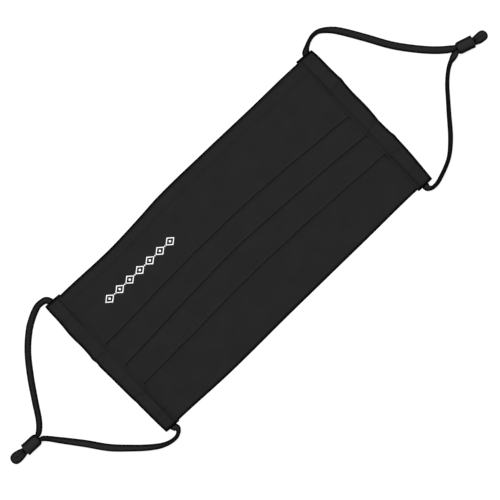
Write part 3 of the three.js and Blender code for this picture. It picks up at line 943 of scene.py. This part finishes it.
def plain_weave_group():
    """Plain-woven cotton: thread crossings, slubs in both directions and a cloudy bloom of fibre ends."""
    if "plain weave" in bpy.data.node_groups:
        return bpy.data.node_groups["plain weave"]
    colours = {"Cotton": "Color", "Bloom": "Color"}
    sockets = {"Place": "Vector", "Pitch": "Float", **colours, "Fold highlight": "Float", "Painted shade": "Float"}
    results = {"Colour": "Color", "Roughness": "Float", "Height": "Float"}
    tree, given, out = new_group("plain weave", sockets, results)
    place = given["Place"]
    split = add_node(tree, "SeparateXYZ", {0: place})
    rate = maths(tree, "DIVIDE", math.pi, given["Pitch"])
    warp, weft = (maths(tree, "SINE", maths(tree, "MULTIPLY", split.outputs[i], rate)) for i in (0, 1))
    crossing = maths(tree, "MULTIPLY_ADD", maths(tree, "MULTIPLY", warp, weft), 0.5, 0.5)
    warp_slub = stretched_noise(tree, place, (2.4, 0.11, 0.0))
    weft_slub = stretched_noise(tree, place, (0.11, 2.4, 0.0))
    slubs = maths(tree, "ADD", warp_slub, weft_slub)
    clouds = stretched_noise(tree, place, (0.07, 0.09, 0.0), detail=4.0)
    fluff = stretched_noise(tree, place, (1.3, 1.3, 1.3), detail=3.0)
    share = mean_of(tree, above(tree, clouds, 0.38, 1.1), above(tree, fluff, 0.56, 1.6))
    cotton = times(tree, given["Cotton"], maths(tree, "MULTIPLY_ADD", slubs, 0.3, 0.7))
    # Painted shade: the cloth is darkened where its marks say it lies in a tuck, groove or crease.
    shade = maths(tree, "MULTIPLY_ADD", given["Painted shade"], -0.45, 1.0)
    # Painted highlight: the cloth is lightened along its marked folds.
    shade = maths(tree, "MULTIPLY_ADD", given["Fold highlight"], 0.12, shade)
    made = {
        "Colour": times(tree, mixed(tree, share, cotton, given["Bloom"]), shade),
        "Roughness": maths(tree, "MULTIPLY_ADD", clouds, -0.12, 0.97),
        "Height": maths(tree, "MULTIPLY_ADD", slubs, 0.35, crossing),
    }
    feed(tree, out, made)
    return tree


def painted_rim_shade(tree, colour):
    """The colour darkened by painted shade on its marked rims, by a node group that all the black materials
    share.
    """
    if "painted rim shade" not in bpy.data.node_groups:
        sockets = {"Colour": "Color", "Rim": "Float", "Depth": "Float"}
        group, given, out = new_group("painted rim shade", sockets, {"Colour": "Color"})
        taken = maths(group, "MULTIPLY", given["Rim"], given["Depth"])
        left = maths(group, "SUBTRACT", 1.0, taken, clamp=True)
        feed(group, out, {"Colour": times(group, given["Colour"], left)})
    values = {"Colour": colour, "Rim": kept_value(tree, "rim"), "Depth": 0.97}
    return add_node(tree, "Group", values, node_tree=bpy.data.node_groups["painted rim shade"]).outputs["Colour"]


def new_material(name):
    """A material and its node tree."""
    material = bpy.data.materials.new(name)
    material.use_nodes = True
    return material, material.node_tree


def finished(material, colour, roughness, normal, specular):
    """Feeds a material's shader and gives the material back."""
    tree = material.node_tree
    values = {"Base Color": colour, "Roughness": roughness, "Normal": normal}
    feed(tree, tree.nodes["Principled BSDF"], {**values, "Specular IOR Level": specular})
    return material


def colour4(colour):
    """A colour with full alpha."""
    return (*colour[:3], 1.0)


def cotton_material(name, cloth):
    """Black plain-woven cotton, matt, with a painted highlight along its folds and painted shade at its rims
    and in its tucks, grooves and creases.
    """
    material, tree = new_material(name)
    given = {
        "Place": kept_value(tree, "place", "Vector"),
        "Fold highlight": kept_value(tree, "fold"),
        "Painted shade": kept_value(tree, "sunk"),
        "Pitch": 0.3,
        "Cotton": colour4(cloth.colour),
        "Bloom": colour4(cloth.bloom),
    }
    weave = add_node(tree, "Group", given, node_tree=plain_weave_group()).outputs
    normal = bumped(tree, weave["Height"], 0.6, 0.06 * MM)
    return finished(material, painted_rim_shade(tree, weave["Colour"]), weave["Roughness"], normal, 0.02)


def thread_material(seam):
    """Black sewing thread, with its ply as a fine slanting bump."""
    material, tree = new_material("sewing thread")
    place = add_node(tree, "TexCoord").outputs["Object"]
    ply = stretched_noise(tree, place, (4200.0, 4200.0, 900.0))
    colour = times(tree, tuple(seam.colour), maths(tree, "MULTIPLY_ADD", ply, 0.5, 0.75))
    return finished(material, colour, 0.62, bumped(tree, ply, 0.4, 0.05 * MM), 0.03)


def elastic_material(elastic):
    """Black knitted elastic: ribs with small slanting stitches between them."""
    material, tree = new_material("knitted elastic")
    place = kept_value(tree, "place", "Vector")
    split = add_node(tree, "SeparateXYZ", {0: place})
    course_pitch, slope = 0.55, 6.0
    slant = maths(tree, "PINGPONG", split.outputs[1], elastic.width / MM / elastic.ribs / 2)
    along = maths(tree, "MULTIPLY", split.outputs[0], math.tau / course_pitch)
    course = maths(tree, "ADD", along, maths(tree, "MULTIPLY", slant, slope))
    stitches = maths(tree, "MULTIPLY_ADD", maths(tree, "SINE", course), 0.5, 0.5)
    fuzz = stretched_noise(tree, place, (2.5, 4.0, 4.0), detail=3.0)
    uneven = stretched_noise(tree, place, (0.12, 0.4, 0.4))
    height = maths(tree, "ADD", stitches, maths(tree, "MULTIPLY", fuzz, 0.6))
    shade = maths(tree, "MULTIPLY_ADD", mean_of(tree, fuzz, uneven), 0.6, 0.7)
    colour = painted_rim_shade(tree, times(tree, tuple(elastic.colour), shade))
    rough = maths(tree, "MULTIPLY_ADD", stitches, -0.1, 0.9)
    return finished(material, colour, rough, bumped(tree, height, 0.7, 0.09 * MM), 0.03)


def silicone_material(toggle):
    """Soft black silicone with a satin skin and a trace of dust."""
    material, tree = new_material("toggle silicone")
    place = add_node(tree, "TexCoord").outputs["Object"]
    grain = stretched_noise(tree, place, (3000.0, 3000.0, 3000.0))
    dust = stretched_noise(tree, place, (500.0, 500.0, 500.0), detail=5.0)
    colour = mixed(tree, above(tree, dust, 0.5, 1.2), colour4(toggle.colour), (0.021, 0.021, 0.021, 1.0))
    rough = maths(tree, "MULTIPLY_ADD", dust, 0.25, 0.45)
    return finished(material, painted_rim_shade(tree, colour), rough, bumped(tree, grain, 0.3, 0.03 * MM), 0.03)


def print_material(ornament):
    """White transfer print, with the weave just showing through it."""
    material, tree = new_material("white print")
    place = add_node(tree, "TexCoord").outputs["Object"]
    patchy = stretched_noise(tree, place, (900.0, 900.0, 900.0), detail=3.0)
    colour = mixed(tree, patchy, colour4(ornament.colour), (0.7, 0.7, 0.7, 1.0))
    rough = maths(tree, "MULTIPLY_ADD", patchy, 0.2, 0.55)
    return finished(material, colour, rough, bumped(tree, patchy, 0.3, 0.03 * MM), 0.5)


class FACEMASK_OT_pleated_cloth(bpy.types.Operator):
    """Build the cloth front, folded into its three pleats"""

    bl_idname = "facemask.pleated_cloth"
    bl_label = "Pleated cloth"

    def execute(self, context):
        cloth = context.scene.facemask_cloth
        made = thick_sheet("pleated_cloth", *pleated_grid(cloth))
        made.data.materials.append(cotton_material("panel cotton", cloth))
        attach(made, "root")
        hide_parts("pleated_panel")
        return {"FINISHED"}


class FACEMASK_OT_side_casings(bpy.types.Operator):
    """Build the two folded strips that hold the panel's ends and the elastic"""

    bl_idname = "facemask.side_casings"
    bl_label = "Side casings"

    def execute(self, context):
        cloth, elastic = context.scene.facemask_cloth, context.scene.facemask_elastic
        find_top = top_finder(bpy.data.objects["pleated_cloth"])
        finish = cotton_material("casing cotton", cloth)
        for name in SIDES:
            made = thick_sheet("casing_cloth_" + name, *casing_grid(cloth, elastic, name, find_top))
            made.data.materials.append(finish)
            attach(made, "root")
            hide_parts("side_casing_" + name)
        return {"FINISHED"}


class FACEMASK_OT_seams(bpy.types.Operator):
    """Sew the hem along the upper edge and the casings' inner edges"""

    bl_idname = "facemask.seams"
    bl_label = "Seams"

    def execute(self, context):
        cloth, seam = context.scene.facemask_cloth, context.scene.facemask_seam
        thread = thread_material(seam)
        short_of_casing, short_of_end = 0.6 * MM, 1.2 * MM
        x = np.linspace(short_of_casing - CASING_INNER, CASING_INNER - short_of_casing, 120)
        line = np.column_stack([x, pleats_at(x)[0] - hem_depth(cloth, x)])
        rows = [("hem_stitches", line, "pleated_cloth", "panel_cotton")]
        for name, side in SIDES.items():
            upper, lower = CASING_ENDS[name]["upper"][0], CASING_ENDS[name]["lower"][0]
            y = np.linspace(upper * HALF_HEIGHT - short_of_end, lower * HALF_HEIGHT + short_of_end, 160)
            line = np.column_stack([0 * y + side * (CASING_INNER + seam.casing_inset), y])
            rows.append(("casing_stitches_" + name, line, "casing_cloth_" + name, "casing_cotton"))
        for name, line, below, slot in rows:
            made = stitched(name, line, top_finder(bpy.data.objects[below]), seam)
            made.data.materials.append(thread)
            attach(made, "root")
        return {"FINISHED"}


class FACEMASK_OT_ear_loops(bpy.types.Operator):
    """Build the free elastic of both ear loops and the stretch hidden in each casing"""

    bl_idname = "facemask.ear_loops"
    bl_label = "Ear loops"

    def execute(self, context):
        elastic = context.scene.facemask_elastic
        knit = elastic_material(elastic)
        for name, side in SIDES.items():
            route = ROUTES[name]
            loop, middle = elastic_piece("elastic_loop_" + name, route, side, elastic, steps=8)
            (upper_x, upper_y), (lower_x, lower_y) = route[0][:2], route[-1][:2]
            hidden_route = [
                [upper_x, upper_y - 0.3, IN_CASING, 0, SNUG],
                [(upper_x + lower_x) / 2, (upper_y + lower_y) / 2, IN_CASING, 0, SNUG],
                [lower_x, lower_y + 0.3, IN_CASING, 0, SNUG],
            ]
            hidden, _ = elastic_piece("elastic_tunnel_" + name, hidden_route, side, elastic, steps=30)
            for made, node in ((loop, "ear_loop_"), (hidden, "tunnel_elastic_")):
                made.data.materials.append(knit)
                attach(made, "root")
                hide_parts(node + name)
            loop["route"] = [list(map(float, point)) for point in middle]
        return {"FINISHED"}


class FACEMASK_OT_toggles(bpy.types.Operator):
    """Build the soft toggles that tighten the ear loops"""

    bl_idname = "facemask.toggles"
    bl_label = "Toggles"

    def execute(self, context):
        toggle, elastic = context.scene.facemask_toggle, context.scene.facemask_elastic
        silicone = silicone_material(toggle)
        strands_apart, room = 1.6 * MM, 0.45 * MM
        bore = math.hypot(strands_apart / 2, elastic.width * GRIP / 2) + room
        axis_height = toggle.body_diameter / 2 + toggle.flare + toggle.lift
        for name, side in SIDES.items():
            places = [TOGGLE_PLACES[name][key] for key in ("mouth", "tail")]
            ends = [Vector((side * (HALF_LENGTH + x * MM), y * MM, axis_height)) for x, y in places]
            length = (ends[1] - ends[0]).length
            made = lathed("silicone_toggle_" + name, toggle_profile(toggle, length, bore), *ends)
            # Painted shade on the toggle's sideways-facing wall.
            set_mask(made, "rim", side_facing(made))
            made.data.materials.append(silicone)
            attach(made, "root")
            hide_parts("toggle_" + name)
        return {"FINISHED"}


class FACEMASK_OT_ornament(bpy.types.Operator):
    """Print a plain row of diamonds on the top strip"""

    bl_idname = "facemask.ornament"
    bl_label = "Printed row"

    def execute(self, context):
        ornament = context.scene.facemask_ornament
        find_top = top_finder(bpy.data.objects["pleated_cloth"])
        count, dot, link, pinhole = 7, 1.5 * MM, 0.9 * MM, 0.02 * MM
        pitch = ornament.length / count
        wide, tall, strokes = 0.86 * pitch, ornament.height, 2.2 * ornament.stroke
        outlines = []
        for i in range(count):
            at = np.array(ornament.centre) + [(i - (count - 1) / 2) * pitch, 0]
            outlines.append((diamond(at, wide, tall), diamond(at, wide - strokes, tall - strokes)))
            outlines.append((diamond(at, dot, dot), diamond(at, pinhole, pinhole)))
            if i:
                between = at - [pitch / 2, 0]
                outlines.append((diamond(between, link, link), diamond(between, pinhole, pinhole)))
        made = printed("printed_row", outlines, find_top)
        made.data.materials.append(print_material(ornament))
        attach(made, "root")
        return {"FINISHED"}


class FACEMASK_OT_declare(bpy.types.Operator):
    bl_idname = "facemask.declare"
    bl_label = "Real sizes of cloth and elastic"

    def execute(self, context):
        objects = bpy.data.objects
        for name in SIDES:
            loop = objects["elastic_loop_" + name]
            del loop["route"]
        return {"FINISHED"}


class FACEMASK_OT_stage(bpy.types.Operator):
    """Set up the pale floor, the soft light and the camera over the mask"""

    bl_idname = "facemask.stage"
    bl_label = "Stage"

    def execute(self, context):
        scene, look = context.scene, context.scene.facemask_stage
        half, low, white = 4.0, -0.02 * MM, (1, 1, 1, 1)
        corners = [(-half, -half, low), (half, -half, low), (half, half, low), (-half, half, low)]
        floor = new_mesh("floor", corners, [(0, 1, 2, 3)])
        material, tree = new_material("pale floor")
        finish = {"Base Color": colour4(look.floor), "Roughness": 0.9, "Specular IOR Level": 0.1}
        glow = {"Emission Color": white, "Emission Strength": look.floor_glow}
        feed(tree, tree.nodes["Principled BSDF"], {**finish, **glow})
        floor.data.materials.append(material)
        lamp = bpy.data.lights.new("overhead softbox", "AREA")
        lamp.shape, lamp.size = "SQUARE", 1.1
        to_left, upward, height = 0.25, 0.3, 1.3
        lamp.energy = look.lamp_power
        holder = add_object("overhead softbox", lamp)
        turn = look.view_turn
        left = Vector((-math.cos(turn), -math.sin(turn), 0))
        up = Vector((-math.sin(turn), math.cos(turn), 0))
        holder.location = left * to_left + up * upward + Vector((0, 0, height))
        holder.rotation_euler = (-holder.location).to_track_quat("-Z", "Y").to_euler()
        world = bpy.data.worlds.new("studio")
        world.use_nodes = True
        feed(world.node_tree, world.node_tree.nodes["Background"], {"Color": white, "Strength": look.sky})
        scene.world = world
        camera = bpy.data.cameras.new("camera")
        camera.lens = look.lens
        camera.clip_end = 20
        viewer = add_object("camera", camera)
        viewer.location = (*look.view_centre, look.view_width * look.lens / camera.sensor_width)
        viewer.rotation_euler = (0, 0, turn)
        scene.camera = viewer
        scene.view_settings.view_transform = "Standard"
        return {"FINISHED"}


STEPS = (
    FACEMASK_OT_pleated_cloth,
    FACEMASK_OT_side_casings,
    FACEMASK_OT_ear_loops,
    FACEMASK_OT_toggles,
    FACEMASK_OT_seams,
    FACEMASK_OT_ornament,
    FACEMASK_OT_declare,
    FACEMASK_OT_stage,
)

SETTINGS = {
    "facemask_cloth": ClothSizes,
    "facemask_seam": SeamSizes,
    "facemask_elastic": ElasticSizes,
    "facemask_toggle": ToggleSizes,
    "facemask_ornament": OrnamentSizes,
    "facemask_stage": StageLook,
}


class FACEMASK_PT_pieces(bpy.types.Panel):
    """Lists the mask's sizes, colours and pieces"""

    bl_idname = "FACEMASK_PT_pieces"
    bl_label = "Cloth mask"
    bl_space_type = "VIEW_3D"
    bl_region_type = "UI"
    bl_category = "Cloth mask"

    def draw(self, context):
        for setting in SETTINGS:
            box = self.layout.box()
            group = getattr(context.scene, setting)
            for key in group.bl_rna.properties.keys():
                if key not in ("rna_type", "name"):
                    box.prop(group, key)
        for step in STEPS:
            self.layout.operator(step.bl_idname)


def register():
    for kind in (*SETTINGS.values(), *STEPS, FACEMASK_PT_pieces):
        bpy.utils.register_class(kind)
    for setting, kind in SETTINGS.items():
        setattr(bpy.types.Scene, setting, bpy.props.PointerProperty(type=kind))


def unregister():
    for setting in SETTINGS:
        delattr(bpy.types.Scene, setting)
    for kind in (FACEMASK_PT_pieces, *reversed(STEPS), *reversed(SETTINGS.values())):
        bpy.utils.unregister_class(kind)


def main():
    register()
    bpy.ops.facemask.pleated_cloth()
    bpy.ops.facemask.side_casings()
    bpy.ops.facemask.ear_loops()
    bpy.ops.facemask.toggles()
    bpy.ops.facemask.seams()
    bpy.ops.facemask.ornament()
    bpy.ops.facemask.declare()
    bpy.ops.facemask.stage()


if __name__ == "__main__":
    main()
